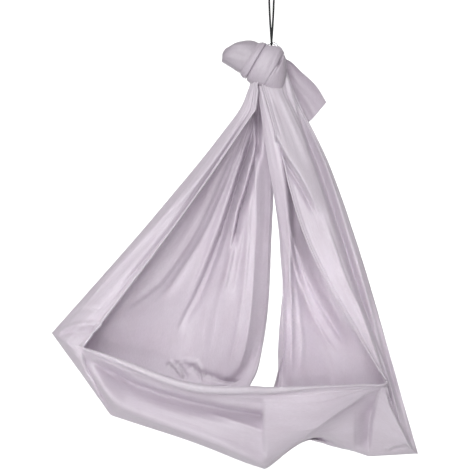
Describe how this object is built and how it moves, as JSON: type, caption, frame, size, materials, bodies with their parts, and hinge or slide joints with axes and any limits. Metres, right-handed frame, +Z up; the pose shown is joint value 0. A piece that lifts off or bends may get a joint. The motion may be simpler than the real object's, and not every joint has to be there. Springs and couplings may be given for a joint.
{
  "type": "aerial yoga hammock",
  "caption": "Aerial yoga hammock: a long cloth knotted on a steel ring, hung by a cord loop and karabiner from a swivel under a round ceiling plate.",
  "frame": {"origin": "middle of the ceiling plate's top face, where it meets the ceiling", "axes": "+Z up, +X to the right in the picture, +Y away from the viewer, so the open front of the seat faces -Y"},
  "size_m": [1.4604, 0.3624, 2.1093],
  "materials": {
    "lilac_tricot": "satin knit",
    "black_cord": "braided, matt",
    "chrome": "polished",
    "brushed_steel": "brushed",
    "bearing_steel": "ground"
  },
  "bodies": {
    "ceiling": {"ceiling_plate": "brushed_steel", "swivel_cup": "brushed_steel", "lower_race": "bearing_steel"},
    "swivel": {"swivel_eye": "brushed_steel", "swivel_nut": "bearing_steel", "upper_race": "bearing_steel", "ball_cage": "bearing_steel"},
    "karabiner": {"karabiner_frame": "chrome", "gate_pin": "bearing_steel"},
    "gate": {"karabiner_gate": "chrome", "gate_plunger": "bearing_steel", "gate_spring": "bearing_steel"},
    "cord": {"hanging_cord": "black_cord", "cord_sleeve": "bearing_steel"},
    "sling": {"sling_ring": "chrome", "knot_wraps": "lilac_tricot", "knot_roll": "lilac_tricot", "free_end": "lilac_tricot", "left_drape": "lilac_tricot", "seat_left": "lilac_tricot", "seat_right": "lilac_tricot", "right_drape": "lilac_tricot", "front_hem": "lilac_tricot"}
  },
  "joints": [
    {"name": "swivel_turn", "type": "hinge", "parent": "ceiling", "child": "swivel", "pos_m": [0, 0, -0.0303], "axis": [0, 0, 1], "continuous": true},
    {"name": "karabiner_swing", "type": "hinge", "parent": "swivel", "child": "karabiner", "pos_m": [0, 0, -0.0696], "axis": [1, 0, 0], "range_deg": [-35, 35]},
    {"name": "gate_open", "type": "hinge", "parent": "karabiner", "child": "gate", "pos_m": [0, 0.019, -0.1293], "axis": [1, 0, 0], "range_deg": [0, 24], "stiffness_Nm_per_rad": 0.15, "springref_deg": -20.05},
    {"name": "cord_swing", "type": "hinge", "parent": "karabiner", "child": "cord", "pos_m": [0, 0, -0.1573], "axis": [0, 1, 0], "range_deg": [-35, 35]},
    {"name": "ring_rock", "type": "hinge", "parent": "cord", "child": "sling", "pos_m": [0, 0, -0.4113], "axis": [1, 0, 0], "range_deg": [-20, 20]}
  ]
}
